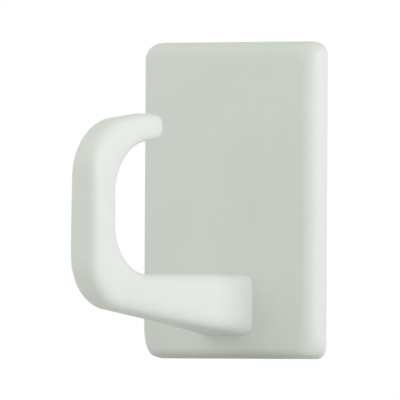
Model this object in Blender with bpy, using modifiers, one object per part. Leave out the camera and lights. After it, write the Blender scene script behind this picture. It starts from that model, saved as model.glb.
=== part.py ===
"""Cup hook: a moulded arm clamped to a hollow cover plate, which hangs on a bracket screwed to the wall.

Metres. +Z is up, +X is to the right of someone facing the hook and +Y points into the wall.
The origin is the centre of the bracket's back face, where it touches the wall.
"""

import math

import bmesh
import bpy
from mathutils import Vector

# Fits
FIT = 0.0003
SEAT_GAP = 0.0004
LIFT_CLEARANCE = 0.0004
RUN_CLEARANCE = 0.0011

# Cover plate
PLATE_WIDTH = 0.0595
PLATE_HEIGHT = 0.0800
PLATE_DEPTH = 0.0059
PLATE_EDGE = 0.0040
PLATE_TOP_CORNER_ACROSS = 0.0052
PLATE_TOP_CORNER_UP = 0.0033
PLATE_FOOT_CORNER_ACROSS = 0.0033
PLATE_FOOT_CORNER_RIM = 0.0029
PLATE_FOOT_CORNER_FACE = 0.0083
PLATE_FOOT_ROUND = 0.0020
PLATE_FOOT_SLOPE = math.radians(12)
CAVITY_CORNER = 0.0028
FRONT_WALL = 0.0022
SIDE_WALL = 0.0022
LIP_REACH = 0.0045
LIP_THICKNESS = 0.0013
RIB_THICKNESS = 0.0016
RIB_GAP = 0.0010
RIB_STAND_OFF = 0.0004

# Arm in side view: distances out from the plate's face and up from the plate's lower edge
ARM_REACH = 0.0532
ARM_MOUTH = 0.0244
FOOT_BOTTOM = 0.0057
FOOT_MIDDLE = 0.01365
FOOT_TOP = 0.0214
LOWER_BEND_BOTTOM = 0.0137
LOWER_BEND_TOP = 0.0210
UPPER_BEND_BOTTOM = 0.0530
UPPER_BEND_TOP = 0.0587
TIP_BOTTOM = 0.0553
TIP_TOP = 0.06255
UPRIGHT_DEPTH_LOW = 0.0085
UPRIGHT_DEPTH_HIGH = 0.0099
LOWER_BEND_OUTER = 0.0127
LOWER_BEND_INNER = 0.0135
UPPER_BEND_OUTER = 0.0142
UPPER_BEND_INNER = 0.0146

# Arm in section: how wide, how square, and how far its widest line rises at the foot in half heights
FOOT_WIDTH = 0.0194
ARM_WIDTH = 0.0101
TIP_WIDTH = 0.0075
FLARE_LENGTH = 0.0347
FLARE_POWER = 2.8
FOOT_POWER = 5.5
ARM_POWER = 3.3
TIP_POWER = 3.1
FOOT_BELT = 0.22
TIP_ROUND = 0.0068

# Tenon and clamp behind the arm's foot
TENON_WIDTH = 0.0100
TENON_HEIGHT = 0.0124
TENON_CORNER = 0.0015
TENON_ROOT = 0.0020
TENON_SHY = 0.0002
CLAMP_WIDTH = 0.0150
CLAMP_HEIGHT = 0.0138
CLAMP_THICKNESS = 0.0010
CLAMP_CORNER = 0.0020
CLAMP_SCREW_SPACING = 0.0066
CLAMP_SCREW_DIAMETER = 0.0030
CLAMP_SCREW_LENGTH = 0.0120
CLAMP_SCREW_POINT = 0.0012
CLAMP_SCREW_TIP = 0.0015
CLAMP_HEAD_DIAMETER = 0.0056
CLAMP_HEAD_HEIGHT = 0.0017
CLAMP_HEAD_SIDE = 0.0006

# Wall bracket
EAR_HEIGHT = 0.0140
EAR_SET_BACK = 0.0004
BRACKET_CORNER = 0.0030
WALL_SCREW_EDGE = 0.0080
WALL_SCREW_DIAMETER = 0.0035
WALL_SCREW_LENGTH = 0.0200
WALL_SCREW_POINT = 0.0045
WALL_HEAD_DIAMETER = 0.0068
WALL_HEAD_RIM = 0.0004

# Driver recess in every screw head
RECESS_SPAN_SHARE = 0.55
RECESS_WIDTH = 0.0008
RECESS_DEPTH = 0.0010

# Mesh fineness
CORNER_STEPS = 8
EDGE_STEPS = 8
TURN_STEPS = 24
SECTION_POINTS = 32
RUN_STEPS = 7
BEND_STEPS = 12
TIP_STEPS = 6
CROWN_STEPS = 4
SMOOTH_ANGLE = math.radians(35)

# Places that follow from the sizes above
PLATE_RIM_Y = -FIT
PLATE_FACE_Y = PLATE_RIM_Y - PLATE_DEPTH
PLATE_INNER_Y = PLATE_FACE_Y + FRONT_WALL
CLAMP_FRONT_Y = PLATE_INNER_Y + FIT
CLAMP_BACK_Y = CLAMP_FRONT_Y + CLAMP_THICKNESS
CLAMP_HEAD_Y = CLAMP_BACK_Y + FIT
BRACKET_FRONT_Y = PLATE_INNER_Y + FIT
EAR_BACK_Y = PLATE_RIM_Y - LIP_THICKNESS - FIT

# Heights above the plate's lower edge
CLAMP_TOP = FOOT_MIDDLE + CLAMP_HEIGHT / 2
RIB_TOP = CLAMP_TOP + RIB_GAP + RIB_THICKNESS
LIFT_TRAVEL = EAR_HEIGHT + LIFT_CLEARANCE
BRACKET_BOTTOM = RIB_TOP + LIFT_TRAVEL + RUN_CLEARANCE
BRACKET_TOP = PLATE_HEIGHT - SIDE_WALL - FIT

# The bracket's middle is at height zero, so the plate's lower edge lies below it
BRACKET_HEIGHT = BRACKET_TOP - BRACKET_BOTTOM
PLATE_FOOT_Z = -(BRACKET_TOP + BRACKET_BOTTOM) / 2
PLATE_MIDDLE_Z = PLATE_FOOT_Z + PLATE_HEIGHT / 2
FOOT_MIDDLE_Z = PLATE_FOOT_Z + FOOT_MIDDLE
BRACKET_TOP_Z = PLATE_FOOT_Z + BRACKET_TOP

# Widths across the plate
CAVITY_WIDTH = PLATE_WIDTH - 2 * SIDE_WALL
CAVITY_HEIGHT = PLATE_HEIGHT - 2 * SIDE_WALL
EAR_SPAN = CAVITY_WIDTH - 2 * FIT
LIP_OPENING = CAVITY_WIDTH - 2 * LIP_REACH
BRACKET_WIDTH = LIP_OPENING - 2 * FIT
WALL_SCREW_SPACING = BRACKET_HEIGHT - 2 * WALL_SCREW_EDGE

# How far a tool reaches past the face that it cuts or joins, and how close counts as touching
OVERCUT = 0.0010
TOUCHING = 0.00001


def clear_scene():
    """Take away whatever the file opened with."""
    for old in list(bpy.data.objects):
        bpy.data.objects.remove(old)


def new_collection(name):
    """Collection of that name, linked to the scene."""
    group = bpy.data.collections.new(name)
    bpy.context.scene.collection.children.link(group)
    return group


def new_material(name, colour, roughness, metallic):
    """Principled material with one colour."""
    material = bpy.data.materials.new(name)
    material.use_nodes = True
    shader = material.node_tree.nodes["Principled BSDF"]
    shader.inputs["Base Color"].default_value = (*colour, 1.0)
    shader.inputs["Roughness"].default_value = roughness
    shader.inputs["Metallic"].default_value = metallic
    return material


def add_object(name, mesh, group):
    """Object of a mesh in a collection."""
    piece = bpy.data.objects.new(name, mesh)
    group.objects.link(piece)
    return piece


def add_piece(name, mesh, finish, carrier):
    """Named sub-part with its material, carried by an empty."""
    piece = add_object(name, mesh, parts)
    piece.data.materials.append(finish)
    piece.parent = carrier
    return piece


def add_tool(name, mesh, place):
    """Hidden object that cuts or joins, at its place."""
    tool = add_object(name, mesh, tools)
    tool.location = place
    tool.hide_render = True
    tool.display_type = "WIRE"
    return tool


def add_carrier(name):
    """Empty at the origin that carries the pieces of one rigid group."""
    carrier = add_object(name, None, parts)
    carrier.empty_display_size = PLATE_DEPTH
    return carrier


def shape_with(piece, tool, operation):
    """Cut a tool out of a piece, or join it on."""
    modifier = piece.modifiers.new(tool.name, "BOOLEAN")
    modifier.operation = operation
    modifier.solver = "EXACT"
    modifier.object = tool


def mesh_from(bm, name):
    """Mesh of a finished bmesh, faces outwards and round stretches shaded smooth."""
    bmesh.ops.recalc_face_normals(bm, faces=bm.faces)
    mesh = bpy.data.meshes.new(name)
    bm.to_mesh(mesh)
    bm.free()
    mesh.shade_smooth()
    mesh.set_sharp_from_angle(angle=SMOOTH_ANGLE)
    return mesh


def block_mesh(name, width, depth, height, corner=0.0):
    """Block about its own middle, with round corners seen from the front."""
    bm = bmesh.new()
    bmesh.ops.create_cube(bm, size=1.0)
    bmesh.ops.scale(bm, vec=(width, depth, height), verts=bm.verts)
    if corner:
        edges = [e for e in bm.edges if abs(e.verts[0].co.y - e.verts[1].co.y) > depth / 2]
        bmesh.ops.bevel(bm, geom=edges, offset=corner, segments=CORNER_STEPS, profile=0.5, affect="EDGES")
    return mesh_from(bm, name)


def join_rings(bm, rings):
    """Faces between rings of as many points that follow one another."""
    for ring, following in zip(rings, rings[1:]):
        for k, corner in enumerate(ring):
            nxt = (k + 1) % len(ring)
            bm.faces.new((corner, ring[nxt], following[nxt], following[k]))


def add_turned(piece):
    """Turn a piece's profile about Z."""
    turn = piece.modifiers.new("turn", "SCREW")
    turn.steps = TURN_STEPS
    turn.render_steps = TURN_STEPS
    turn.use_merge_vertices = True
    turn.merge_threshold = TOUCHING
    return piece


def profile_mesh(name, profile):
    """Open profile of (radius, height) points, from the top of the axis down to its foot."""
    points = [(radius, 0.0, height) for radius, height in profile]
    edges = [(i, i + 1) for i in range(len(points) - 1)]
    mesh = bpy.data.meshes.new(name)
    mesh.from_pydata(points, edges, [])
    return mesh


def bend_frame(before, corner, after, radius):
    """Start, end, centre and turn of the round bend that softens a corner."""
    back = (before - corner).normalized()
    ahead = (after - corner).normalized()
    half = back.angle(ahead) / 2
    start = corner + back * (radius / math.tan(half))
    end = corner + ahead * (radius / math.tan(half))
    centre = corner + (back + ahead).normalized() * (radius / math.sin(half))
    turn = (start - centre).angle_signed(end - centre)
    return start, end, centre, turn


def outline_point(corners, radii, t):
    """Point on a run, bend, run, bend, run outline, each of which takes one unit of t."""
    low = bend_frame(corners[0], corners[1], corners[2], radii[0])
    high = bend_frame(corners[1], corners[2], corners[3], radii[1])
    stretch = min(int(t), 4)
    share = t - stretch
    if stretch in (1, 3):
        start, _, centre, turn = low if stretch == 1 else high
        spoke = start - centre
        angle = -turn * share
        across = Vector((-spoke.y, spoke.x))
        return centre + spoke * math.cos(angle) + across * math.sin(angle)
    ends = ((corners[0], low[0]), (low[1], high[0]), (high[1], corners[3]))
    start, end = ends[stretch // 2]
    return start.lerp(end, share)


def arm_outlines():
    """Outer and inner outline of the arm in side view, as corners and bend radii."""
    outer = [
        Vector((FIT, FOOT_BOTTOM)),
        Vector((ARM_REACH, LOWER_BEND_BOTTOM)),
        Vector((ARM_REACH, UPPER_BEND_TOP)),
        Vector((ARM_MOUTH, TIP_TOP)),
    ]
    inner = [
        Vector((FIT, FOOT_TOP)),
        Vector((ARM_REACH - UPRIGHT_DEPTH_LOW, LOWER_BEND_TOP)),
        Vector((ARM_REACH - UPRIGHT_DEPTH_HIGH, UPPER_BEND_BOTTOM)),
        Vector((ARM_MOUTH, TIP_BOTTOM)),
    ]
    outer_radii = (LOWER_BEND_OUTER, UPPER_BEND_OUTER)
    inner_radii = (LOWER_BEND_INNER, UPPER_BEND_INNER)
    return (outer, outer_radii), (inner, inner_radii)


def arm_stations(last_run):
    """Values of t at which the arm's sections stand, and each section's size in the rounded tip."""
    stations = []
    for stretch in range(4):
        steps = BEND_STEPS if stretch % 2 else RUN_STEPS
        stations += [(stretch + i / steps, 1.0) for i in range(steps)]
    round_start = 1 - TIP_ROUND / last_run
    stations += [(4 + round_start * i / RUN_STEPS, 1.0) for i in range(RUN_STEPS)]
    for i in range(TIP_STEPS):
        swing = math.pi / 2 * i / TIP_STEPS
        along = round_start + (1 - round_start) * math.sin(swing)
        stations.append((4 + along, math.cos(swing)))
    return stations


def arm_form(place, upright_start, taper_length):
    """Width, squareness and belt of the arm at a distance along it.

    It flares and squares up towards the foot, and narrows and rounds off a little towards the tip.
    """
    near = max(0.0, 1 - place / FLARE_LENGTH)
    taper = min(max((place - upright_start) / taper_length, 0.0), 1.0)
    taper = taper * taper * (3 - 2 * taper)
    width = ARM_WIDTH + (FOOT_WIDTH - ARM_WIDTH) * near ** FLARE_POWER + (TIP_WIDTH - ARM_WIDTH) * taper
    power = ARM_POWER + (FOOT_POWER - ARM_POWER) * near ** 2 + (TIP_POWER - ARM_POWER) * taper
    return width, power, FOOT_BELT * near ** 2


def section_shape(power, belt):
    """Points of a squared oval with half-axes of one, whose widest line lies a belt's share inwards."""
    points = []
    for k in range(SECTION_POINTS):
        angle = 2 * math.pi * k / SECTION_POINTS
        side = math.copysign(abs(math.cos(angle)) ** (2 / power), math.cos(angle))
        rise = math.copysign(abs(math.sin(angle)) ** (2 / power), math.sin(angle))
        points.append((side, rise + belt * (abs(rise) - 1)))
    return points


def arm_mesh(name):
    """Loft of squared-oval sections along the arm, from the flared foot to the rounded tip.

    The local origin is on the plate's face at the middle of the foot.
    """
    outer, inner = arm_outlines()
    middle = {t: (outline_point(*outer, t) + outline_point(*inner, t)) / 2 for t in (4, 5)}
    stations = arm_stations((middle[5] - middle[4]).length)
    sections = []
    travelled = 0.0
    for t, share in stations:
        outside = outline_point(*outer, t)
        inside = outline_point(*inner, t)
        centre = (outside + inside) / 2
        travelled += (centre - sections[-1][0]).length if sections else 0.0
        sections.append((centre, (outside - inside) / 2 * share, share, travelled, t))
    upright_start = next(place for _, _, _, place, t in sections if t >= 2)
    taper_length = travelled - upright_start
    bm = bmesh.new()
    rings = []
    for centre, reach, share, place, _ in sections:
        width, power, belt = arm_form(place, upright_start, taper_length)
        ring = []
        for side, rise in section_shape(power, belt):
            out, up = centre + reach * rise
            ring.append(bm.verts.new((side * width / 2 * share, -out, up - FOOT_MIDDLE)))
        rings.append(ring)
    out, up = middle[5]
    pole = bm.verts.new((0.0, -out, up - FOOT_MIDDLE))
    bm.faces.new(rings[0])
    join_rings(bm, rings)
    for k in range(SECTION_POINTS):
        bm.faces.new((rings[-1][k], rings[-1][(k + 1) % SECTION_POINTS], pole))
    return mesh_from(bm, name)


def foot_inset(depth):
    """Rise of the plate's lower edge at a depth from its rim: a slope that ends in a round."""
    start = PLATE_DEPTH - PLATE_FOOT_ROUND * (1 - math.sin(PLATE_FOOT_SLOPE))
    if depth <= start:
        return depth * math.tan(PLATE_FOOT_SLOPE)
    along = min((depth - PLATE_DEPTH) / PLATE_FOOT_ROUND + 1, 1.0)
    level = PLATE_FOOT_ROUND * (math.cos(PLATE_FOOT_SLOPE) - math.sqrt(1 - along * along))
    return start * math.tan(PLATE_FOOT_SLOPE) + level


def plate_outline(depth, inset):
    """Outline of the plate (across, up) at a depth from its rim, its sides and top set in by a round."""
    share = depth / PLATE_DEPTH
    foot_up = PLATE_FOOT_CORNER_RIM + (PLATE_FOOT_CORNER_FACE - PLATE_FOOT_CORNER_RIM) * share
    half_width = PLATE_WIDTH / 2 - inset
    top = PLATE_HEIGHT - inset
    corners = (
        (1, top - PLATE_TOP_CORNER_UP, PLATE_TOP_CORNER_ACROSS, PLATE_TOP_CORNER_UP, 0),
        (-1, top - PLATE_TOP_CORNER_UP, PLATE_TOP_CORNER_ACROSS, PLATE_TOP_CORNER_UP, 1),
        (-1, foot_inset(depth) + foot_up, PLATE_FOOT_CORNER_ACROSS, foot_up, 2),
        (1, foot_inset(depth) + foot_up, PLATE_FOOT_CORNER_ACROSS, foot_up, 3),
    )
    points = []
    for side, height, across, up, quarter in corners:
        for i in range(CORNER_STEPS + 1):
            swing = math.pi / 2 * (quarter + i / CORNER_STEPS)
            x = side * (half_width - across) + across * math.cos(swing)
            points.append((x, height + up * math.sin(swing)))
    return points


def plate_mesh(name):
    """Closed blank of the cover plate, from its flat rim to its flat face.

    The local origin is on the rim's plane at the middle of the plate's lower edge.
    """
    swings = [math.pi / 2 * i / EDGE_STEPS for i in range(EDGE_STEPS + 1)]
    levels = [(PLATE_DEPTH - PLATE_EDGE * (1 - math.sin(a)), PLATE_EDGE * (1 - math.cos(a))) for a in swings]
    bm = bmesh.new()
    rings = []
    for depth, inset in [(0.0, 0.0), *levels]:
        rings.append([bm.verts.new((x, -depth, z)) for x, z in plate_outline(depth, inset)])
    bm.faces.new(rings[0])
    join_rings(bm, rings)
    bm.faces.new(rings[-1])
    return mesh_from(bm, name)


def add_front_plate(finish, carrier):
    """Hollow cover plate with lips at its top, a rib frame round the clamp and a hole for the tenon."""
    plate = add_piece("front_plate", plate_mesh("front_plate"), finish, carrier)
    plate.location = (0, PLATE_RIM_Y, PLATE_FOOT_Z)

    hollow = block_mesh("cavity", CAVITY_WIDTH, OVERCUT - PLATE_INNER_Y, CAVITY_HEIGHT, CAVITY_CORNER)
    cavity = add_tool("cavity", hollow, (0, (OVERCUT + PLATE_INNER_Y) / 2, PLATE_MIDDLE_Z))
    lip_width = LIP_REACH + OVERCUT
    lip_depth = LIP_THICKNESS - PLATE_RIM_Y + 2 * OVERCUT
    lip_height = EAR_HEIGHT + FIT + OVERCUT
    lip_x = (LIP_OPENING + lip_width) / 2
    lip_y = PLATE_RIM_Y - LIP_THICKNESS + lip_depth / 2
    lip_z = BRACKET_TOP_Z - EAR_HEIGHT + lip_height / 2
    for side, sign in (("left", -1), ("right", 1)):
        lip = block_mesh("lip_" + side, lip_width, lip_depth, lip_height)
        shape_with(cavity, add_tool("lip_" + side, lip, (sign * lip_x, lip_y, lip_z)), "DIFFERENCE")
    shape_with(plate, cavity, "DIFFERENCE")

    rib_depth = PLATE_DEPTH - FRONT_WALL - RIB_STAND_OFF + OVERCUT
    rib_y = PLATE_INNER_Y - OVERCUT + rib_depth / 2
    rib_x = CLAMP_WIDTH / 2 + RIB_GAP + RIB_THICKNESS / 2
    rib_height = RIB_TOP - SIDE_WALL + OVERCUT
    rib_z = PLATE_FOOT_Z + RIB_TOP - rib_height / 2
    for side, sign in (("left", -1), ("right", 1)):
        rib = block_mesh("rib_" + side, RIB_THICKNESS, rib_depth, rib_height)
        shape_with(plate, add_tool("rib_" + side, rib, (sign * rib_x, rib_y, rib_z)), "UNION")
    bridge = block_mesh("rib_bridge", 2 * rib_x, rib_depth - FIT, RIB_THICKNESS)
    bridge_z = PLATE_FOOT_Z + RIB_TOP - RIB_THICKNESS / 2 - FIT
    shape_with(plate, add_tool("rib_bridge", bridge, (0, rib_y - FIT / 2, bridge_z)), "UNION")

    slot_width = TENON_WIDTH + 2 * FIT
    slot_depth = FRONT_WALL + 2 * OVERCUT
    slot_height = TENON_HEIGHT + 2 * FIT
    slot = block_mesh("tenon_slot", slot_width, slot_depth, slot_height, TENON_CORNER + FIT)
    slot_y = PLATE_FACE_Y + FRONT_WALL / 2
    shape_with(plate, add_tool("tenon_slot", slot, (0, slot_y, FOOT_MIDDLE_Z)), "DIFFERENCE")
    return plate


def clamp_screw_heights():
    """Names and heights of the two screws that hold the arm."""
    return (
        ("upper", FOOT_MIDDLE_Z + CLAMP_SCREW_SPACING / 2),
        ("lower", FOOT_MIDDLE_Z - CLAMP_SCREW_SPACING / 2),
    )


def add_screw_hole(piece, name, radius, start_y, end_y, height):
    """Round hole along Y between two depths."""
    length = end_y - start_y
    profile = [(0, length / 2), (radius, length / 2), (radius, -length / 2), (0, -length / 2)]
    hole = add_turned(add_tool(name, profile_mesh(name, profile), (0, (start_y + end_y) / 2, height)))
    hole.rotation_euler = (math.radians(90), 0, 0)
    shape_with(piece, hole, "DIFFERENCE")


def add_hook_arm(finish, carrier):
    """Arm with a tenon on its foot and two holes for its screws."""
    arm = add_piece("hook_arm", arm_mesh("hook_arm"), finish, carrier)
    arm.location = (0, PLATE_FACE_Y, FOOT_MIDDLE_Z)

    tenon_depth = TENON_ROOT + FIT + FRONT_WALL - TENON_SHY
    tenon = block_mesh("tenon", TENON_WIDTH, tenon_depth, TENON_HEIGHT, TENON_CORNER)
    tenon_y = PLATE_INNER_Y - TENON_SHY - tenon_depth / 2
    shape_with(arm, add_tool("tenon", tenon, (0, tenon_y, FOOT_MIDDLE_Z)), "UNION")

    radius = CLAMP_SCREW_DIAMETER / 2 + FIT
    deepest = CLAMP_HEAD_Y - CLAMP_SCREW_LENGTH - FIT
    for level, height in clamp_screw_heights():
        add_screw_hole(arm, "arm_hole_" + level, radius, deepest, PLATE_INNER_Y + OVERCUT, height)
    return arm


def add_clamp_plate(finish, carrier):
    """Flat steel plate behind the cover's front wall."""
    mesh = block_mesh("clamp_plate", CLAMP_WIDTH, CLAMP_THICKNESS, CLAMP_HEIGHT, CLAMP_CORNER)
    plate = add_piece("clamp_plate", mesh, finish, carrier)
    plate.location = (0, CLAMP_FRONT_Y + CLAMP_THICKNESS / 2, FOOT_MIDDLE_Z)
    radius = CLAMP_SCREW_DIAMETER / 2 + FIT
    for level, height in clamp_screw_heights():
        start = CLAMP_FRONT_Y - OVERCUT
        add_screw_hole(plate, "clamp_hole_" + level, radius, start, CLAMP_BACK_Y + OVERCUT, height)
    return plate


def add_driver_recess(screw, name, head_diameter, place, facing):
    """Cross recess for a driver in a screw's head; facing is the way the head looks along Y."""
    depth = RECESS_DEPTH + OVERCUT
    middle_y = place[1] + facing * (OVERCUT - RECESS_DEPTH) / 2
    span = RECESS_SPAN_SHARE * head_diameter
    for arm_name, width, height in (("flat", span, RECESS_WIDTH), ("upright", RECESS_WIDTH, span)):
        tool_name = name + "_recess_" + arm_name
        slot = block_mesh(tool_name, width, depth, height)
        shape_with(screw, add_tool(tool_name, slot, (place[0], middle_y, place[2])), "DIFFERENCE")


def add_clamp_screw(level, height, finish, carrier):
    """Pan-head screw driven forwards into the arm's foot; its local +Z runs back to the head."""
    name = "clamp_screw_" + level
    radius = CLAMP_SCREW_DIAMETER / 2
    head = CLAMP_HEAD_DIAMETER / 2
    dome = CLAMP_HEAD_HEIGHT - CLAMP_HEAD_SIDE
    swings = [math.pi / 2 * i / CROWN_STEPS for i in range(CROWN_STEPS + 1)]
    crown = [(head * math.sin(swing), CLAMP_HEAD_SIDE + dome * math.cos(swing)) for swing in swings]
    profile = [
        *crown,
        (head, 0),
        (radius, 0),
        (radius, CLAMP_SCREW_POINT - CLAMP_SCREW_LENGTH),
        (CLAMP_SCREW_TIP / 2, -CLAMP_SCREW_LENGTH),
        (0, -CLAMP_SCREW_LENGTH),
    ]
    screw = add_turned(add_piece(name, profile_mesh(name, profile), finish, carrier))
    screw.location = (0, CLAMP_HEAD_Y, height)
    screw.rotation_euler = (math.radians(-90), 0, 0)
    add_driver_recess(screw, name, CLAMP_HEAD_DIAMETER, (0, CLAMP_HEAD_Y + CLAMP_HEAD_HEIGHT, height), 1)
    return screw


def countersunk_profile(gap, length, point):
    """Countersunk screw's outline grown by a gap, with its head's top at height zero."""
    radius = WALL_SCREW_DIAMETER / 2 + gap
    head = WALL_HEAD_DIAMETER / 2 + gap
    cone_foot = -WALL_HEAD_RIM - (head - radius)
    return [
        (head, 0),
        (head, -WALL_HEAD_RIM),
        (radius, cone_foot),
        (radius, point - length),
        (0, -length),
    ]


def wall_screw_heights():
    """Names and heights of the two screws that hold the bracket."""
    return (("upper", WALL_SCREW_SPACING / 2), ("lower", -WALL_SCREW_SPACING / 2))


def add_wall_bracket(finish, carrier):
    """Bracket with two ears that the plate's lips hang behind, and two countersunk holes."""
    depth = -BRACKET_FRONT_Y
    mesh = block_mesh("wall_bracket", BRACKET_WIDTH, depth, BRACKET_HEIGHT, BRACKET_CORNER)
    bracket = add_piece("wall_bracket", mesh, finish, carrier)
    bracket.location = (0, -depth / 2, 0)

    ear_depth = EAR_BACK_Y - BRACKET_FRONT_Y - EAR_SET_BACK
    ear_height = EAR_HEIGHT - EAR_SET_BACK
    ears = block_mesh("ears", EAR_SPAN, ear_depth, ear_height, max(CAVITY_CORNER, BRACKET_CORNER))
    ears_place = (0, EAR_BACK_Y - ear_depth / 2, BRACKET_TOP_Z - EAR_SET_BACK - ear_height / 2)
    shape_with(bracket, add_tool("ears", ears, ears_place), "UNION")

    for level, height in wall_screw_heights():
        name = "bracket_hole_" + level
        bore = countersunk_profile(SEAT_GAP, depth + OVERCUT, 0)
        head = bore[0][0]
        profile = [(0, OVERCUT), (head, OVERCUT), *bore]
        hole = add_turned(add_tool(name, profile_mesh(name, profile), (0, BRACKET_FRONT_Y, height)))
        hole.rotation_euler = (math.radians(90), 0, 0)
        shape_with(bracket, hole, "DIFFERENCE")
    return bracket


def add_wall_screw(level, height, finish, carrier):
    """Countersunk wood screw driven back into the wall; its local +Z looks out of the wall."""
    name = "wall_screw_" + level
    profile = [(0, 0), *countersunk_profile(0, WALL_SCREW_LENGTH, WALL_SCREW_POINT)]
    screw = add_turned(add_piece(name, profile_mesh(name, profile), finish, carrier))
    screw.location = (0, BRACKET_FRONT_Y, height)
    screw.rotation_euler = (math.radians(90), 0, 0)
    add_driver_recess(screw, name, WALL_HEAD_DIAMETER, (0, BRACKET_FRONT_Y, height), -1)
    return screw


clear_scene()
parts = new_collection("cup_hook")
tools = new_collection("cutters")

fixed_side = add_carrier("wall_side")
lifting_side = add_carrier("hook_side")

add_front_plate(new_material("plate_plastic", (0.78, 0.80, 0.77), 0.55, 0.0), lifting_side)
add_hook_arm(new_material("arm_plastic", (0.79, 0.81, 0.78), 0.55, 0.0), lifting_side)
add_clamp_plate(new_material("clamp_steel", (0.60, 0.61, 0.62), 0.40, 1.0), lifting_side)
for screw_level, screw_height in clamp_screw_heights():
    steel = new_material("clamp_screw_steel_" + screw_level, (0.66, 0.67, 0.69), 0.35, 1.0)
    add_clamp_screw(screw_level, screw_height, steel, lifting_side)

add_wall_bracket(new_material("bracket_plastic", (0.66, 0.67, 0.66), 0.60, 0.0), fixed_side)
for screw_level, screw_height in wall_screw_heights():
    steel = new_material("wall_screw_steel_" + screw_level, (0.66, 0.67, 0.69), 0.35, 1.0)
    add_wall_screw(screw_level, screw_height, steel, fixed_side)
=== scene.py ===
"""Looks of the cup hook, piece by piece in the order in which it is put on the wall.

Metres, in the frame of the solids: +Z is up, +Y points into the wall and the arm points along -Y.
"""

import bpy
import numpy as np
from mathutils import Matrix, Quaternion, Vector


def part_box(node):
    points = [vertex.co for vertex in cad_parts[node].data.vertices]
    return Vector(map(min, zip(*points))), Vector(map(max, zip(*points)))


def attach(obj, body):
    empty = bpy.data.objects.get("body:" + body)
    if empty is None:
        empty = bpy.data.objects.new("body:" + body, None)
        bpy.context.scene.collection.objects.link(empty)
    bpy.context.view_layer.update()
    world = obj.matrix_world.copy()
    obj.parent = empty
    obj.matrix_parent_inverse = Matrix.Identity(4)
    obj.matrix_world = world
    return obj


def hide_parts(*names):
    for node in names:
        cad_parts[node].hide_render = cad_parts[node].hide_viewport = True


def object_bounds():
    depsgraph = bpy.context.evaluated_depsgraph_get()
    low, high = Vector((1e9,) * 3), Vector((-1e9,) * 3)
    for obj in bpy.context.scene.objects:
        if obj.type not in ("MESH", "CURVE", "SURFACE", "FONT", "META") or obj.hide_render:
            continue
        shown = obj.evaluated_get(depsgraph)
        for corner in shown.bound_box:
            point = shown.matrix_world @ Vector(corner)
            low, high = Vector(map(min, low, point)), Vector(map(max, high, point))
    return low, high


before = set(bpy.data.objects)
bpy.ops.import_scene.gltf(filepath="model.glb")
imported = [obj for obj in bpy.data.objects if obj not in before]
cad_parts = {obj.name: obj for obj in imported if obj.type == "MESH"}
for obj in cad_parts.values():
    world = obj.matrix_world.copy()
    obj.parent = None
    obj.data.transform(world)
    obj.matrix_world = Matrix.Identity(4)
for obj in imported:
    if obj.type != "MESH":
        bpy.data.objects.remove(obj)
solid_low, solid_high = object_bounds()


# Wall bracket
# A light grey plastic moulding, screwed to the wall through two countersunk holes. The two ears at its
# top stand clear of the wall, so that the cover plate's lips can drop in behind them.

EAR_REACH = 0.0047
EAR_HEIGHT = 0.0136
EAR_STEP = 0.0004
EAR_THICKNESS = 0.0014
BRACKET_CORNER = 0.0030
MOULDED_EDGE = 0.0004
WALL_SCREW_EDGE = 0.0080
COUNTERSINK_RADIUS = 0.0038
COUNTERSINK_RIM = 0.0004
BRACKET_BORE_RADIUS = 0.00215
BRACKET_COLOUR = (0.56, 0.575, 0.565)
BRACKET_ROUGHNESS = 0.52

# How finely shapes are drawn, how far a cutter reaches past a face, and the angle that shades as an edge
CORNER_POINTS = 17
SIDE_POINTS = 9
EDGE_POINTS = 13
TURN_POINTS = 64
REACH_PAST = 0.0010
SHARP_ANGLE = np.radians(32)

# Moulded plastic: a slow drift of tone and gloss, and a fine eroded grain
DRIFT_SCALE = 90.0
DRIFT_DETAIL = 4.0
DRIFT_SPAN = (0.3, 0.7)
DRIFT_TONES = (0.985, 1.010)
DRIFT_GLOSS = 0.06
GRAIN_SCALE = 3200.0
GRAIN_DETAIL = 3.0
GRAIN_DEPTH = 0.000012

bracket_low, bracket_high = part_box("wall_bracket")
bracket_front = bracket_low.y
bracket_height = bracket_high.z - bracket_low.z


def mesh_of_rings(rings, start, end):
    """Closed mesh of a stack of rings, an array of (ring, point, xyz), drawn to a pole point at each end.

    Quads join each ring to the next one, and a fan of triangles joins an end ring to its pole.
    """
    count, around = rings.shape[:2]
    here = np.arange(count * around).reshape(count, around)
    beside = np.roll(here, -1, axis=1)
    quads = np.stack([here[:-1], beside[:-1], beside[1:], here[1:]], axis=-1).reshape(-1, 4)
    first = np.stack([beside[0], here[0], np.full(around, here.size)], axis=-1)
    last = np.stack([here[-1], beside[-1], np.full(around, here.size + 1)], axis=-1)
    points = np.concatenate([rings.reshape(-1, 3), [start, end]])
    triangles = np.concatenate([quads[:, [0, 1, 2]], quads[:, [0, 2, 3]], first, last])
    corners = points[triangles]
    volume = np.sum(np.cross(corners[:, 0], corners[:, 1]) * corners[:, 2])
    faces = [*quads.tolist(), *first.tolist(), *last.tolist()]
    mesh = bpy.data.meshes.new("shape")
    mesh.from_pydata(points.tolist(), [], faces)
    if volume < 0:
        mesh.flip_normals()
    return mesh


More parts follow.
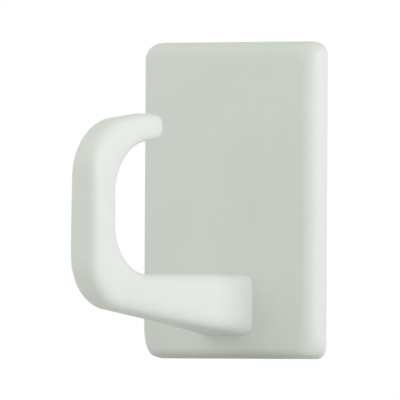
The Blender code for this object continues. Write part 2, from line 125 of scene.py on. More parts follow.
def outline_of(width, height, corner):
    """Centres and outward directions (x, z) of the points round a rectangle with round corners.

    A point lies a corner radius from its centre in its direction. Along a straight side the centre moves and
    the direction stays; in a corner the centre stays and the direction swings through a quarter turn.
    """
    swing = np.linspace(0, np.pi / 2, CORNER_POINTS) + np.pi / 2 * np.arange(4)[:, None]
    turning = np.stack([np.cos(swing), np.sin(swing)], axis=-1)
    signs = np.array([(1, 1), (-1, 1), (-1, -1), (1, -1)])
    corners = signs * (np.array([width, height]) / 2 - corner)
    share = np.linspace(0, 1, SIDE_POINTS + 2)[1:-1, None]
    along = corners[:, None] + (np.roll(corners, -1, axis=0) - corners)[:, None] * share
    standing = np.repeat(corners[:, None], CORNER_POINTS, axis=1)
    steady = np.repeat(turning[:, -1:], SIDE_POINTS, axis=1)
    centres = np.concatenate([standing, along], axis=1).reshape(-1, 2)
    directions = np.concatenate([turning, steady], axis=1).reshape(-1, 2)
    return centres, directions


def slab_mesh(middle, width, height, front, back, corner, front_round, back_round):
    """Slab facing -Y: a round-cornered rectangle carried from its front face to its back face.

    At a swing a, a round front edge of radius r lies r(1 - sin a) inside the outline and r(1 - cos a) behind
    the face. The back edge mirrors it.
    """
    swing = np.linspace(0, np.pi / 2, EDGE_POINTS)
    front_inset = front_round * (1 - np.sin(swing))
    back_inset = back_round * (1 - np.cos(swing))
    front_y = front + front_round * (1 - np.cos(swing))
    back_y = back - back_round * (1 - np.sin(swing))
    inset = np.concatenate([front_inset, back_inset])[:, None, None]
    depth = np.concatenate([front_y, back_y])[:, None]
    centres, directions = outline_of(width, height, corner)
    flat = np.array(middle) + centres + (corner - inset) * directions
    depth = np.broadcast_to(depth, flat.shape[:2])
    rings = np.stack([flat[..., 0], depth, flat[..., 1]], axis=-1)
    return mesh_of_rings(rings, (middle[0], front, middle[1]), (middle[0], back, middle[1]))


def turned_mesh(height, profile):
    """Shape with flat ends, turned about a line along Y at a height from a profile of (y, radius) points."""
    along, radius = np.array(profile).T
    angle = np.linspace(0, 2 * np.pi, TURN_POINTS, endpoint=False)
    x = radius[:, None] * np.cos(angle)
    z = radius[:, None] * np.sin(angle) + height
    y = np.repeat(along[:, None], TURN_POINTS, axis=1)
    rings = np.stack([x, y, z], axis=-1)
    return mesh_of_rings(rings, (0, along[0], height), (0, along[-1], height))


def shaped_mesh(base, *steps):
    """Mesh of a base after each step in turn joins on, or cuts away, another closed mesh."""
    body = bpy.data.objects.new("body", base)
    bpy.context.scene.collection.objects.link(body)
    tools = []
    for operation, mesh in steps:
        tool = bpy.data.objects.new("tool", mesh)
        bpy.context.scene.collection.objects.link(tool)
        change = body.modifiers.new(operation, "BOOLEAN")
        change.operation = operation
        change.object = tool
        change.solver = "MANIFOLD"
        tools.append(tool)
    graph = bpy.context.evaluated_depsgraph_get()
    shaped = bpy.data.meshes.new_from_object(body.evaluated_get(graph))
    for old in (body, *tools):
        bpy.data.objects.remove(old)
    return shaped


def add_piece(name, mesh, material, body, node):
    """Piece that stands for a solid, moves with its body and takes the finish it is given.

    A shaped mesh comes with a blank material slot, which is cleared first.
    """
    mesh.materials.clear()
    mesh.materials.append(material)
    mesh.shade_smooth()
    mesh.set_sharp_from_angle(angle=SHARP_ANGLE)
    piece = bpy.data.objects.new(name, mesh)
    bpy.context.scene.collection.objects.link(piece)
    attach(piece, body)
    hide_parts(node)


def moulded_plastic(name, colour, roughness):
    """Satin moulded plastic: tone and gloss drift a little, and the mould's eroded grain is in relief."""
    material = bpy.data.materials.new(name)
    material.use_nodes = True
    nodes = material.node_tree.nodes
    link = material.node_tree.links.new
    shader = nodes["Principled BSDF"]
    place = nodes.new("ShaderNodeTexCoord")

    drift = nodes.new("ShaderNodeTexNoise")
    drift.inputs["Scale"].default_value = DRIFT_SCALE
    drift.inputs["Detail"].default_value = DRIFT_DETAIL
    tone = nodes.new("ShaderNodeValToRGB")
    for stop, position, share in zip(tone.color_ramp.elements, DRIFT_SPAN, DRIFT_TONES):
        stop.position = position
        stop.color = (*(share * part for part in colour), 1.0)
    gloss = nodes.new("ShaderNodeMapRange")
    gloss.inputs["To Min"].default_value = roughness - DRIFT_GLOSS
    gloss.inputs["To Max"].default_value = roughness + DRIFT_GLOSS

    grain = nodes.new("ShaderNodeTexNoise")
    grain.inputs["Scale"].default_value = GRAIN_SCALE
    grain.inputs["Detail"].default_value = GRAIN_DETAIL
    relief = nodes.new("ShaderNodeBump")
    relief.inputs["Distance"].default_value = GRAIN_DEPTH

    for texture in (drift, grain):
        link(place.outputs["Object"], texture.inputs["Vector"])
    link(drift.outputs["Fac"], tone.inputs["Fac"])
    link(tone.outputs["Color"], shader.inputs["Base Color"])
    link(drift.outputs["Fac"], gloss.inputs["Value"])
    link(gloss.outputs["Result"], shader.inputs["Roughness"])
    link(grain.outputs["Fac"], relief.inputs["Height"])
    link(relief.outputs["Normal"], shader.inputs["Normal"])
    return material


bracket_width = bracket_high.x - bracket_low.x - 2 * EAR_REACH
ear_back = bracket_front + EAR_STEP + EAR_THICKNESS
ear_middle = bracket_high.z - EAR_STEP - EAR_HEIGHT / 2
ears = slab_mesh((0, ear_middle), bracket_high.x - bracket_low.x, EAR_HEIGHT,
                 bracket_front + EAR_STEP, ear_back, BRACKET_CORNER, MOULDED_EDGE, MOULDED_EDGE)
bracket_steps = [("UNION", ears)]
wall_screw_heights = {"upper": bracket_high.z - WALL_SCREW_EDGE, "lower": bracket_low.z + WALL_SCREW_EDGE}
countersink = [
    (bracket_front - REACH_PAST, COUNTERSINK_RADIUS),
    (bracket_front + COUNTERSINK_RIM, COUNTERSINK_RADIUS),
    (bracket_front + COUNTERSINK_RIM + COUNTERSINK_RADIUS - BRACKET_BORE_RADIUS, BRACKET_BORE_RADIUS),
    (bracket_high.y + REACH_PAST, BRACKET_BORE_RADIUS),
]
bracket_steps += [("DIFFERENCE", turned_mesh(height, countersink)) for height in wall_screw_heights.values()]
bracket_web = slab_mesh((0, (bracket_low.z + bracket_high.z) / 2), bracket_width, bracket_height,
                        bracket_front, bracket_high.y, BRACKET_CORNER, MOULDED_EDGE, MOULDED_EDGE)
add_piece(
    "bracket_moulding", shaped_mesh(bracket_web, *bracket_steps),
    moulded_plastic("grey_moulding", BRACKET_COLOUR, BRACKET_ROUGHNESS),
    "wall_side", "wall_bracket",
)


# Wall screws
# Two zinc plated steel wood screws, turned and roll threaded, with countersunk heads and cross recesses.
# They hold the bracket to the wall, one above the other on its centre line.

WALL_HEAD_RADIUS = 0.0034
WALL_HEAD_RIM = 0.0004
WALL_HEAD_BREAK = 0.0001
WALL_SHANK_RADIUS = 0.00135
WALL_THREAD_RADIUS = 0.00175
WALL_PITCH = 0.0014
WALL_PLAIN_LENGTH = 0.0050
WALL_POINT_LENGTH = 0.0045
WALL_TIP_RADIUS = 0.0001
SCREW_COLOUR = (0.60, 0.61, 0.63)

# Thread: sections in a turn, half a ridge's width in pitches, and its height at the point as a share
THREAD_STEPS_A_TURN = 14
THREAD_HALF_WIDTH = 0.27
THREAD_POINT_SHARE = 0.35

# Cross recess: its two slots, as long as a share of the head's width, and the radius of its pit in front of
# the head's face, at it and behind it, as shares of the head's radius
RECESS_WIDTH = 0.0008
RECESS_DEPTH = 0.0010
RECESS_CORNER = 0.0002
RECESS_EDGE = 0.00006
RECESS_SPAN_SHARE = 0.55
RECESS_PIT_SHARES = (0.416, 0.299, 0.130)

# Zinc plating: cloudy tone and gloss, and fine scratches drawn out sideways
CLOUD_SCALE = 420.0
CLOUD_DETAIL = 5.0
CLOUD_SPAN = (0.32, 0.68)
CLOUD_TONES = ((0.90, 0.92, 0.97), (1.04, 1.03, 0.98))
ZINC_ROUGHNESS = (0.26, 0.46)
SCRATCH_STRETCH = (1.0, 1.0, 9.0)
SCRATCH_SCALE = 1500.0
SCRATCH_DETAIL = 3.0
SCRATCH_DEPTH = 0.000006


def screw_mesh(height, head_y, facing, head_profile, shank, crest, pitch, plain, length, point, tip):
    """Screw along Y, its head looking the way of facing, with a helical thread on its shank.

    The head is a turned profile of (depth, radius) points. Along the shank the radius swells from the core
    to the crest where the depth, counted in pitches, runs half a turn ahead of the turn round the axis. The
    thread starts at the plain depth, and over the length of the point the core tapers to the tip's radius.
    """
    head_depth, head_radius = np.array(head_profile).T
    steps = int(THREAD_STEPS_A_TURN * (length - plain) / pitch)
    shank_depth = np.concatenate([[plain - pitch], np.linspace(plain, length, steps)])
    depth = np.concatenate([head_depth, shank_depth])
    taper = np.clip((length - shank_depth) / point, 0, 1)
    core = np.concatenate([head_radius, tip + (shank - tip) * taper])
    growth = np.clip((shank_depth - plain) / pitch, 0, 1) * np.clip((length - shank_depth) / pitch, 0, 1)
    growth = growth * (THREAD_POINT_SHARE + (1 - THREAD_POINT_SHARE) * taper)
    ridge_height = np.concatenate([0 * head_radius, (crest - shank) * growth])
    turn = np.linspace(0, 1, TURN_POINTS, endpoint=False)
    from_ridge = np.abs((depth[:, None] / pitch - turn) % 1.0 - 0.5)
    ridge = np.clip(1 - from_ridge / THREAD_HALF_WIDTH, 0, 1)
    radius = core[:, None] + ridge_height[:, None] * ridge
    x = radius * np.cos(2 * np.pi * turn)
    z = radius * np.sin(2 * np.pi * turn) * facing + height
    y = np.broadcast_to(head_y - facing * depth[:, None], x.shape)
    rings = np.stack([x, y, z], axis=-1)
    start = (0, head_y - facing * depth[0], height)
    end = (0, head_y - facing * length, height)
    return mesh_of_rings(rings, start, end)


def cross_recess(height, head_y, facing, head_radius):
    """Steps that cut two crossing slots and a tapering round pit into a screw's head."""
    span = 2 * head_radius * RECESS_SPAN_SHARE
    outside = head_y + facing * RECESS_DEPTH
    inside = head_y - facing * RECESS_DEPTH
    front, back = sorted((outside, inside))
    slots = [
        slab_mesh((0, height), width, rise, front, back, RECESS_CORNER, RECESS_EDGE, RECESS_EDGE)
        for width, rise in ((span, RECESS_WIDTH), (RECESS_WIDTH, span))
    ]
    pit_radii = [head_radius * share for share in RECESS_PIT_SHARES]
    pit = turned_mesh(height, list(zip((outside, head_y, inside), pit_radii)))
    return [("DIFFERENCE", cutter) for cutter in (*slots, pit)]


def zinc_plate(name, colour):
    """Bright zinc plating on steel: a metal with cloudy tone and gloss, and fine scratches in relief."""
    material = bpy.data.materials.new(name)
    material.use_nodes = True
    nodes = material.node_tree.nodes
    link = material.node_tree.links.new
    shader = nodes["Principled BSDF"]
    shader.inputs["Metallic"].default_value = 1.0
    place = nodes.new("ShaderNodeTexCoord")

    cloud = nodes.new("ShaderNodeTexNoise")
    cloud.inputs["Scale"].default_value = CLOUD_SCALE
    cloud.inputs["Detail"].default_value = CLOUD_DETAIL
    tone = nodes.new("ShaderNodeValToRGB")
    for stop, position, shares in zip(tone.color_ramp.elements, CLOUD_SPAN, CLOUD_TONES):
        stop.position = position
        stop.color = (*(share * part for share, part in zip(shares, colour)), 1.0)
    gloss = nodes.new("ShaderNodeMapRange")
    gloss.inputs["To Min"].default_value = ZINC_ROUGHNESS[0]
    gloss.inputs["To Max"].default_value = ZINC_ROUGHNESS[1]
    stretch = nodes.new("ShaderNodeMapping")
    stretch.inputs["Scale"].default_value = SCRATCH_STRETCH
    scratch = nodes.new("ShaderNodeTexNoise")
    scratch.inputs["Scale"].default_value = SCRATCH_SCALE
    scratch.inputs["Detail"].default_value = SCRATCH_DETAIL
    relief = nodes.new("ShaderNodeBump")
    relief.inputs["Distance"].default_value = SCRATCH_DEPTH

    link(place.outputs["Object"], cloud.inputs["Vector"])
    link(place.outputs["Object"], stretch.inputs["Vector"])
    link(stretch.outputs["Vector"], scratch.inputs["Vector"])
    link(cloud.outputs["Fac"], tone.inputs["Fac"])
    link(tone.outputs["Color"], shader.inputs["Base Color"])
    link(cloud.outputs["Fac"], gloss.inputs["Value"])
    link(gloss.outputs["Result"], shader.inputs["Roughness"])
    link(scratch.outputs["Fac"], relief.inputs["Height"])
    link(relief.outputs["Normal"], shader.inputs["Normal"])
    return material


screw_zinc = zinc_plate("screw_zinc", SCREW_COLOUR)
for level, height in wall_screw_heights.items():
    node = "wall_screw_" + level
    screw_low, screw_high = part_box(node)
    length = screw_high.y - screw_low.y
    cone_foot = WALL_HEAD_RIM + WALL_HEAD_RADIUS - WALL_SHANK_RADIUS
    head = [
        (0, WALL_HEAD_RADIUS - WALL_HEAD_BREAK),
        (WALL_HEAD_BREAK, WALL_HEAD_RADIUS),
        (WALL_HEAD_RIM, WALL_HEAD_RADIUS),
        (cone_foot, WALL_SHANK_RADIUS),
    ]
    blank = screw_mesh(height, screw_low.y, -1, head, WALL_SHANK_RADIUS, WALL_THREAD_RADIUS, WALL_PITCH,
                       WALL_PLAIN_LENGTH, length, WALL_POINT_LENGTH, WALL_TIP_RADIUS)
    screw = shaped_mesh(blank, *cross_recess(height, screw_low.y, -1, WALL_HEAD_RADIUS))
    add_piece(level + "_wall_screw", screw, screw_zinc, "wall_side", node)


# Cover plate
# An off-white plastic moulding with broad quarter-round edges. Its hollow back has two lips at the top,
# which hang behind the bracket's ears, and a frame of ribs round the slot for the arm's tenon.

# Outside: the quarter-round edge, the oval corners, and the slope and round of the lower edge
PLATE_EDGE = 0.0040
TOP_CORNER_ACROSS = 0.0052
TOP_CORNER_UP = 0.0033
FOOT_CORNER_ACROSS = 0.0033
FOOT_CORNER_RIM = 0.0029
FOOT_CORNER_FACE = 0.0083
FOOT_ROUND = 0.0020
FOOT_SLOPE = np.radians(12)
COVER_POINTS = 25

# Hollow back, with its lips and its ribs
HOLLOW_CORNER = 0.0028
FRONT_WALL = 0.0022
SIDE_WALL = 0.0022
RIM_EDGE = 0.0002
HOLLOW_EDGE = 0.0008
LIP_REACH = 0.0045
LIP_THICKNESS = 0.0013
LIP_HEIGHT = 0.0143
RIB_THICKNESS = 0.0016
RIB_CLEARANCE = 0.0010
RIB_STAND_OFF = 0.0004
RIB_CORNER = 0.000727
RIB_EDGE = 0.0003

# The arm's tenon, and the gap round it in its slot
TENON_WIDTH = 0.0100
TENON_HEIGHT = 0.0124
TENON_CORNER = 0.0015
TENON_GAP = 0.0003

PLATE_COLOUR = (0.805, 0.822, 0.797)
PLATE_ROUGHNESS = 0.55

plate_low, plate_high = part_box("front_plate")
plate_front = plate_low.y
plate_back = plate_high.y
plate_width = plate_high.x - plate_low.x
plate_height = plate_high.z - plate_low.z
plate_depth = plate_back - plate_front
plate_middle = (plate_low.z + plate_high.z) / 2
plate_inside = plate_front + FRONT_WALL
clamp_low, clamp_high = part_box("clamp_plate")
clamp_middle = (clamp_low.z + clamp_high.z) / 2


def cover_mesh():
    """Blank of the cover: outlines with oval corners, carried from the face over a round edge to the rim.

    At a swing a, the sides and the top of edge e lie e(1 - sin a) inside the rim and e(1 - cos a) behind the
    face. The lower edge rises on a slope from the rim and ends in a round of its own, and its corners grow
    taller towards the face.
    """
    swing = np.linspace(0, np.pi / 2, COVER_POINTS)
    behind = np.concatenate([PLATE_EDGE * (1 - np.cos(swing)), [plate_depth - RIM_EDGE, plate_depth]])
    inset = np.concatenate([PLATE_EDGE * (1 - np.sin(swing)), [0, RIM_EDGE]])
    depth = plate_depth - behind
    round_start = plate_depth - FOOT_ROUND * (1 - np.sin(FOOT_SLOPE))
    along = np.clip(1 - behind / FOOT_ROUND, 0, 1)
    rounded = FOOT_ROUND * (np.cos(FOOT_SLOPE) - np.sqrt(1 - along ** 2))
    sloped = np.minimum(depth, round_start) * np.tan(FOOT_SLOPE)
    foot = sloped + np.where(depth > round_start, rounded, 0) + np.where(depth > 0, 0, RIM_EDGE)
    foot_up = FOOT_CORNER_RIM + (FOOT_CORNER_FACE - FOOT_CORNER_RIM) * depth / plate_depth
    top_up = np.full_like(inset, TOP_CORNER_UP)
    top = plate_high.z - inset - TOP_CORNER_UP
    low = plate_low.z + foot + foot_up
    side = np.array([1, -1, -1, 1])
    across = np.array([TOP_CORNER_ACROSS, TOP_CORNER_ACROSS, FOOT_CORNER_ACROSS, FOOT_CORNER_ACROSS])
    up = np.stack([top_up, top_up, foot_up, foot_up], axis=-1)
    centre_x = side * (plate_width / 2 - inset[:, None] - across)
    centre_z = np.stack([top, top, low, low], axis=-1)
    angle = np.pi / 2 * (np.arange(4)[:, None] + np.linspace(0, 1, CORNER_POINTS))
    x = centre_x[..., None] + across[:, None] * np.cos(angle)
    z = centre_z[..., None] + up[..., None] * np.sin(angle)
    y = np.broadcast_to((plate_front + behind)[:, None, None], x.shape)
    rings = np.stack([x, y, z], axis=-1).reshape(len(behind), -1, 3)
    return mesh_of_rings(rings, (0, plate_front, plate_middle), (0, plate_back, plate_middle))


hollow_width = plate_width - 2 * SIDE_WALL
hollow_height = plate_height - 2 * SIDE_WALL
hollow_top = plate_high.z - SIDE_WALL
lip_width = LIP_REACH + REACH_PAST
lip_x = hollow_width / 2 - LIP_REACH + lip_width / 2
lip_z = hollow_top - LIP_HEIGHT / 2 + REACH_PAST / 2
lip_front = plate_back - LIP_THICKNESS
lip_back = plate_back + 2 * REACH_PAST
lips = [
    slab_mesh((side * lip_x, lip_z), lip_width, LIP_HEIGHT + REACH_PAST, lip_front, lip_back,
              MOULDED_EDGE, RIB_EDGE, RIB_EDGE)
    for side in (-1, 1)
]
hollow = slab_mesh((0, plate_middle), hollow_width, hollow_height, plate_inside, plate_back + REACH_PAST,
                   HOLLOW_CORNER, HOLLOW_EDGE, RIM_EDGE)

rib_front = plate_inside - REACH_PAST
rib_back = plate_back - RIB_STAND_OFF
rib_x = clamp_high.x + RIB_CLEARANCE + RIB_THICKNESS / 2
rib_top = clamp_high.z + RIB_CLEARANCE + RIB_THICKNESS
rib_foot = plate_low.z + SIDE_WALL - REACH_PAST
ribs = [
    slab_mesh((side * rib_x, (rib_top + rib_foot) / 2), RIB_THICKNESS, rib_top - rib_foot,
              rib_front, rib_back, RIB_CORNER, RIB_EDGE, RIB_EDGE)
    for side in (-1, 1)
]
bridge_middle = rib_top - RIB_THICKNESS / 2 - RIB_EDGE
ribs.append(slab_mesh((0, bridge_middle), 2 * rib_x, RIB_THICKNESS, rib_front, rib_back - RIB_EDGE,
                      RIB_CORNER, RIB_EDGE, RIB_EDGE))
tenon_slot = slab_mesh((0, clamp_middle), TENON_WIDTH + 2 * TENON_GAP, TENON_HEIGHT + 2 * TENON_GAP,
                       plate_front - REACH_PAST, plate_inside + REACH_PAST,
                       TENON_CORNER + TENON_GAP, RIM_EDGE, RIM_EDGE)
plate_mesh = shaped_mesh(
    cover_mesh(),
    ("DIFFERENCE", shaped_mesh(hollow, *(("DIFFERENCE", lip) for lip in lips))),
    *(("UNION", rib) for rib in ribs),
    ("DIFFERENCE", tenon_slot),
)
plate_plastic = moulded_plastic("off_white_moulding", PLATE_COLOUR, PLATE_ROUGHNESS)
add_piece("plate_moulding", plate_mesh, plate_plastic, "hook_side", "front_plate")


# Hook arm
# One solid moulding in the same off-white plastic: a squared bar that leaves a flared foot, turns up, turns
# back and tapers to a rounded tip. A tenon behind its foot goes through the cover plate.

# Side-view outlines: the tip's distance from the plate, heights over the plate's foot, the depth of the
# upright at its two ends, and the radii of the lower and the upper bend
ARM_MOUTH = 0.0244
FOOT_BOTTOM = 0.0057
FOOT_TOP = 0.0214
LOWER_BEND_BOTTOM = 0.0137
LOWER_BEND_TOP = 0.0210
UPPER_BEND_BOTTOM = 0.0530
UPPER_BEND_TOP = 0.0587
TIP_BOTTOM = 0.0553
TIP_TOP = 0.06255
UPRIGHT_DEPTH_LOW = 0.0085
UPRIGHT_DEPTH_HIGH = 0.0099
OUTER_BENDS = np.array([0.0127, 0.0142])
INNER_BENDS = np.array([0.0135, 0.0146])

# Sections: widths, the flare to the foot, and the powers that make the ovals square
ARM_WIDTH = 0.0101
TIP_WIDTH = 0.0075
FLARE_LENGTH = 0.0347
FLARE_POWER = 2.8
FOOT_POWER = 5.5
ARM_POWER = 3.3
TIP_POWER = 3.1
FOOT_BELT = 0.22
TIP_ROUND = 0.0068
SECTION_POINTS = 128
RUN_POINTS = 36
BEND_POINTS = 40
TIP_POINTS = 20

# Behind the foot: the tenon's squareness, how far it ends short of the wall's inside, and the screws' holes
TENON_POWER = 8.0
TENON_SHY = 0.0002
SCREW_SPACING = 0.0066
SCREW_HOLE_RADIUS = 0.0018
SCREW_HOLE_DEPTH = 0.0070

# The arm's colour is the plate's off-white made a shade lighter: painted light, standing in for the extra
# light that falls on the arm
ARM_PAINTED_LIGHTER_COLOUR = (0.822, 0.838, 0.814)

arm_low, arm_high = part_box("hook_arm")
arm_reach = plate_front - arm_low.y
foot_width = arm_high.x - arm_low.x


def bent_line(corners, radii, place):
    """Complex points on a line of run, bend, run, bend, run, each of which takes one unit of place.

    A bend is the arc of its radius that touches the two runs that meet in its corner: its spoke turns
    evenly from where it touches the one run to where it touches the other.
    """
    back = corners[:2] - corners[1:3]
    ahead = corners[2:] - corners[1:3]
    back = back / np.abs(back)
    ahead = ahead / np.abs(ahead)
    half = np.abs(np.angle(ahead / back)) / 2
    start = corners[1:3] + back * radii / np.tan(half)
    end = corners[1:3] + ahead * radii / np.tan(half)
    centre = corners[1:3] + (back + ahead) / np.abs(back + ahead) * radii / np.sin(half)
    turn = np.angle((end - centre) / (start - centre))
    run_from = np.array([corners[0], end[0], end[1]])
    run_to = np.array([start[0], start[1], corners[3]])
    stretch = np.minimum(place.astype(int), 4)
    share = place - stretch
    run = stretch // 2
    bend = np.minimum(run, 1)
    on_run = run_from[run] + (run_to[run] - run_from[run]) * share
    on_bend = centre[bend] + (start[bend] - centre[bend]) * np.exp(1j * turn[bend] * share)
    return np.where(stretch % 2 == 1, on_bend, on_run)


def squared_oval(power):
    """Half-axis shares (across, up) of the points round ovals |x|^p + |y|^p = 1, squarer as p grows."""
    angle = np.linspace(0, 2 * np.pi, SECTION_POINTS, endpoint=False)
    share = 2 / np.array(power)[..., None]
    across = np.sign(np.cos(angle)) * np.abs(np.cos(angle)) ** share
    up = np.sign(np.sin(angle)) * np.abs(np.sin(angle)) ** share
    return across, up


def arm_mesh():
    """Squared ovals carried along the arm between its outer and inner side-view outlines.

    Each oval spans the two outlines at one place. Its width flares as a power of its nearness to the plate
    and narrows to the tip on a smooth step, and the last ovals shrink as the cosine of a quarter swing. Near
    the plate the ovals square up and their widest line moves inwards, with the square of that nearness.
    """
    outer = np.array([
        FOOT_BOTTOM * 1j,
        arm_reach + LOWER_BEND_BOTTOM * 1j,
        arm_reach + UPPER_BEND_TOP * 1j,
        ARM_MOUTH + TIP_TOP * 1j,
    ])
    inner = np.array([
        FOOT_TOP * 1j,
        arm_reach - UPRIGHT_DEPTH_LOW + LOWER_BEND_TOP * 1j,
        arm_reach - UPRIGHT_DEPTH_HIGH + UPPER_BEND_BOTTOM * 1j,
        ARM_MOUTH + TIP_BOTTOM * 1j,
    ])
    ends = np.array([4.0, 5.0])
    last_run = (bent_line(outer, OUTER_BENDS, ends) + bent_line(inner, INNER_BENDS, ends)) / 2
    round_start = 5 - TIP_ROUND / np.abs(last_run[1] - last_run[0])
    swing = np.linspace(0, np.pi / 2, TIP_POINTS, endpoint=False)
    place = np.concatenate([
        np.linspace(0, 1, RUN_POINTS, endpoint=False),
        np.linspace(1, 2, BEND_POINTS, endpoint=False),
        np.linspace(2, 3, RUN_POINTS, endpoint=False),
        np.linspace(3, 4, BEND_POINTS, endpoint=False),
        np.linspace(4, round_start, RUN_POINTS, endpoint=False),
        round_start + (5 - round_start) * np.sin(swing),
    ])
    shrink = np.concatenate([np.ones(len(place) - TIP_POINTS), np.cos(swing)])
    outside = bent_line(outer, OUTER_BENDS, place)
    inside = bent_line(inner, INNER_BENDS, place)
    centre = (outside + inside) / 2
    reach = (outside - inside) / 2 * shrink
    distance = np.concatenate([[0], np.cumsum(np.abs(np.diff(centre)))])
    upright_start = distance[np.searchsorted(place, 2.0)]
    taper = np.clip((distance - upright_start) / (distance[-1] - upright_start), 0, 1)
    taper = taper * taper * (3 - 2 * taper)
    near = np.clip(1 - distance / FLARE_LENGTH, 0, 1)
    width = ARM_WIDTH + (foot_width - ARM_WIDTH) * near ** FLARE_POWER + (TIP_WIDTH - ARM_WIDTH) * taper
    power = ARM_POWER + (FOOT_POWER - ARM_POWER) * near ** 2 + (TIP_POWER - ARM_POWER) * taper
    across, up = squared_oval(power)
    belt = FOOT_BELT * near[:, None] ** 2
    side_view = centre[:, None] + reach[:, None] * (up + belt * (np.abs(up) - 1))
    x = (width * shrink / 2)[:, None] * across
    y = plate_front - side_view.real
    z = plate_low.z + side_view.imag
    bar = np.stack([x, y, z], axis=-1)

    # The bar's ovals go round by way of the lower side first, and so does the tenon's
    across, up = squared_oval(TENON_POWER)
    tenon_y = np.array([plate_inside - TENON_SHY, plate_front])
    tenon = np.empty((2, SECTION_POINTS, 3))
    tenon[..., 0] = TENON_WIDTH / 2 * across
    tenon[..., 1] = tenon_y[:, None]
    tenon[..., 2] = clamp_middle - TENON_HEIGHT / 2 * up
    tip = (0, plate_front - last_run[1].real, plate_low.z + last_run[1].imag)
    return mesh_of_rings(np.concatenate([tenon, bar]), (0, tenon_y[0], clamp_middle), tip)


clamp_screw_heights = {"upper": clamp_middle + SCREW_SPACING / 2, "lower": clamp_middle - SCREW_SPACING / 2}
arm_hole = [
    (plate_front - SCREW_HOLE_DEPTH, SCREW_HOLE_RADIUS),
    (plate_inside + REACH_PAST, SCREW_HOLE_RADIUS),
]
arm_steps = [("DIFFERENCE", turned_mesh(height, arm_hole)) for height in clamp_screw_heights.values()]
# The arm's copy of the off-white plastic is a shade lighter than the plate's, which is painted light
arm_plastic_painted_lighter = moulded_plastic("off_white_arm_painted_lighter", ARM_PAINTED_LIGHTER_COLOUR, PLATE_ROUGHNESS)
add_piece(
    "arm_moulding", shaped_mesh(arm_mesh(), *arm_steps), arm_plastic_painted_lighter,
    "hook_side", "hook_arm",
)


# Clamp plate
# A small zinc plated steel pressing behind the cover's front wall. It spreads the pull of the two screws
# that hold the arm's foot against the cover.

CLAMP_CORNER = 0.0020
CLAMP_EDGE = 0.00018
CLAMP_HOLE_RADIUS = 0.0018
CLAMP_COLOUR = (0.54, 0.55, 0.56)

clamp_hole = [(clamp_low.y - REACH_PAST, CLAMP_HOLE_RADIUS), (clamp_high.y + REACH_PAST, CLAMP_HOLE_RADIUS)]
clamp_steps = [("DIFFERENCE", turned_mesh(height, clamp_hole)) for height in clamp_screw_heights.values()]
clamp_blank = slab_mesh((0, clamp_middle), clamp_high.x - clamp_low.x, clamp_high.z - clamp_low.z,
                        clamp_low.y, clamp_high.y, CLAMP_CORNER, CLAMP_EDGE, CLAMP_EDGE)
add_piece(
    "clamp_pressing", shaped_mesh(clamp_blank, *clamp_steps), zinc_plate("sheet_zinc", CLAMP_COLOUR),
    "hook_side", "clamp_plate",
)


# Clamp screws
# Two zinc plated pan-head screws with coarse threads, driven from behind through the clamp plate into the
# arm's foot.

CLAMP_HEAD_RADIUS = 0.0028
CLAMP_HEAD_HEIGHT = 0.0017
CLAMP_HEAD_SIDE = 0.0006
CLAMP_SHANK_RADIUS = 0.00112
CLAMP_THREAD_RADIUS = 0.0015
CLAMP_PITCH = 0.0011
CLAMP_PLAIN_LENGTH = 0.0012
CLAMP_POINT_LENGTH = 0.0012
CLAMP_TIP_RADIUS = 0.00075
CROWN_POINTS = 12
CROWN_START = 0.02

for level, height in clamp_screw_heights.items():
    node = "clamp_screw_" + level
    screw_low, screw_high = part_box(node)
    swing = np.linspace(CROWN_START, np.pi / 2, CROWN_POINTS)
    dome = CLAMP_HEAD_HEIGHT - CLAMP_HEAD_SIDE
    crown = np.stack([dome * (1 - np.cos(swing)), CLAMP_HEAD_RADIUS * np.sin(swing)], axis=-1)
    head = [*crown, (CLAMP_HEAD_HEIGHT, CLAMP_HEAD_RADIUS), (CLAMP_HEAD_HEIGHT, CLAMP_SHANK_RADIUS)]
    length = screw_high.y - screw_low.y
    plain = CLAMP_HEAD_HEIGHT + CLAMP_PLAIN_LENGTH
    blank = screw_mesh(height, screw_high.y, 1, head, CLAMP_SHANK_RADIUS, CLAMP_THREAD_RADIUS, CLAMP_PITCH,
                       plain, length, CLAMP_POINT_LENGTH, CLAMP_TIP_RADIUS)
    screw = shaped_mesh(blank, *cross_recess(height, screw_high.y, 1, CLAMP_HEAD_RADIUS))
    add_piece(level + "_clamp_screw", screw, screw_zinc, "hook_side", node)


# Studio
# A round pale floor close under the hook, seen edge on by a camera with a long lens, far off at its height.
# Soft lamps on the right, in front and high on the left light the hook, in an even surround with a breath
# of green.

# Viewing angle in degrees, roll in radians, distance in metres, and the plate's place in the photo in pixels
CAMERA_AZIMUTH = 42.7
CAMERA_ELEVATION = -0.53
CAMERA_ROLL = 0.0056
CAMERA_DISTANCE = 4.7
PHOTO_SIDE = 400
PLATE_HEIGHT_IN_PHOTO = 316.6
PLATE_AXIS_IN_PHOTO = 224.7
PLATE_FOOT_IN_PHOTO = 358.65

# Floor, surround and lamps
FLOOR_RADIUS = 0.70
FLOOR_COLOUR = (0.80, 0.80, 0.80)
FLOOR_ROUGHNESS = 0.9
SURROUND_COLOUR = (0.88, 1.0, 0.82)
SURROUND_LEVEL = 0.50
LAMP_COLOUR = (0.96, 0.885, 1.0)
WHITE = (1.0, 1.0, 1.0)

# The camera aims at the point in the plane of the plate's face that stands in the middle of the picture
metres_a_pixel = plate_height / PLATE_HEIGHT_IN_PHOTO
aim = Vector((
    (PHOTO_SIDE / 2 - PLATE_AXIS_IN_PHOTO) * metres_a_pixel / np.cos(np.radians(CAMERA_AZIMUTH)),
    plate_front,
    plate_low.z + (PLATE_FOOT_IN_PHOTO - PHOTO_SIDE / 2) * metres_a_pixel,
))


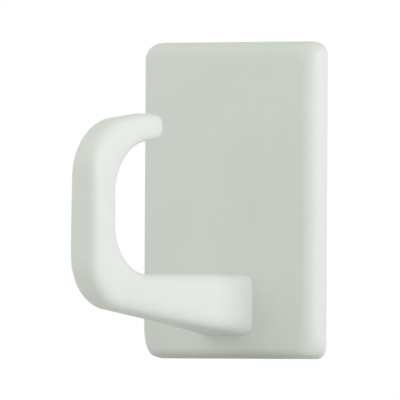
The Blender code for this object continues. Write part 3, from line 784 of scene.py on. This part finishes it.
def direction_of(azimuth, elevation):
    """Unit vector towards a place round the hook, in degrees: azimuth 0 is in front and 90 to the right."""
    side, rise = np.radians([azimuth, elevation])
    return Vector((np.sin(side) * np.cos(rise), -np.cos(side) * np.cos(rise), np.sin(rise)))


towards_camera = direction_of(CAMERA_AZIMUTH, CAMERA_ELEVATION)
camera_place = aim + towards_camera * CAMERA_DISTANCE

floor_angle = np.linspace(0, 2 * np.pi, TURN_POINTS, endpoint=False)
floor_ring = np.stack([
    FLOOR_RADIUS * np.cos(floor_angle),
    FLOOR_RADIUS * np.sin(floor_angle),
    np.full(TURN_POINTS, camera_place.z),
], axis=-1)
floor_mesh = bpy.data.meshes.new("floor")
floor_mesh.from_pydata(floor_ring.tolist(), [], [list(range(TURN_POINTS))])
floor_paint = bpy.data.materials.new("floor_paint")
floor_paint.use_nodes = True
floor_shader = floor_paint.node_tree.nodes["Principled BSDF"]
floor_shader.inputs["Base Color"].default_value = (*FLOOR_COLOUR, 1.0)
floor_shader.inputs["Roughness"].default_value = FLOOR_ROUGHNESS
floor_mesh.materials.append(floor_paint)
floor = bpy.data.objects.new("floor", floor_mesh)
bpy.context.scene.collection.objects.link(floor)

world = bpy.data.worlds.new("surround")
bpy.context.scene.world = world
world.use_nodes = True
tree = world.node_tree
light = tree.nodes["Background"]
light.inputs["Color"].default_value = (*SURROUND_COLOUR, 1.0)
light.inputs["Strength"].default_value = SURROUND_LEVEL
white = tree.nodes.new("ShaderNodeBackground")
white.inputs["Color"].default_value = (*WHITE, 1.0)
white.inputs["Strength"].default_value = 1.0
ray = tree.nodes.new("ShaderNodeLightPath")
seen = tree.nodes.new("ShaderNodeMath")
seen.operation = "MAXIMUM"
seen_through = tree.nodes.new("ShaderNodeMath")
seen_through.operation = "MAXIMUM"
choice = tree.nodes.new("ShaderNodeMixShader")
tree.links.new(ray.outputs["Is Camera Ray"], seen.inputs[0])
tree.links.new(ray.outputs["Is Glossy Ray"], seen.inputs[1])
tree.links.new(seen.outputs["Value"], seen_through.inputs[0])
tree.links.new(ray.outputs["Is Transmission Ray"], seen_through.inputs[1])
tree.links.new(seen_through.outputs["Value"], choice.inputs["Fac"])
tree.links.new(light.outputs["Background"], choice.inputs[1])
tree.links.new(white.outputs["Background"], choice.inputs[2])
tree.links.new(choice.outputs["Shader"], tree.nodes["World Output"].inputs["Surface"])


def add_lamp(name, azimuth, elevation, distance, size, power, colour):
    """Square soft lamp that looks at the middle of the hook from a direction and a distance."""
    lamp = bpy.data.lights.new(name, "AREA")
    lamp.size = size
    lamp.energy = power
    lamp.color = colour
    holder = bpy.data.objects.new(name, lamp)
    towards = direction_of(azimuth, elevation)
    holder.location = (solid_low + solid_high) / 2 + towards * distance
    holder.rotation_euler = towards.to_track_quat("Z", "Y").to_euler()
    bpy.context.scene.collection.objects.link(holder)


add_lamp("right_lamp", azimuth=92, elevation=10, distance=0.9, size=0.8, power=5.9, colour=LAMP_COLOUR)
add_lamp("front_lamp", azimuth=-30, elevation=20, distance=0.5, size=0.5, power=0.50, colour=LAMP_COLOUR)
add_lamp("upper_lamp", azimuth=-60, elevation=45, distance=0.9, size=0.6, power=0.76, colour=WHITE)

camera = bpy.data.cameras.new("camera")
camera.lens = camera.sensor_width * CAMERA_DISTANCE / (PHOTO_SIDE * metres_a_pixel)
stand = bpy.data.objects.new("camera", camera)
stand.location = camera_place
stand.rotation_mode = "QUATERNION"
stand.rotation_quaternion = towards_camera.to_track_quat("Z", "Y") @ Quaternion((0, 0, 1), CAMERA_ROLL)
bpy.context.scene.collection.objects.link(stand)
bpy.context.scene.camera = stand
bpy.context.scene.view_settings.view_transform = "Standard"
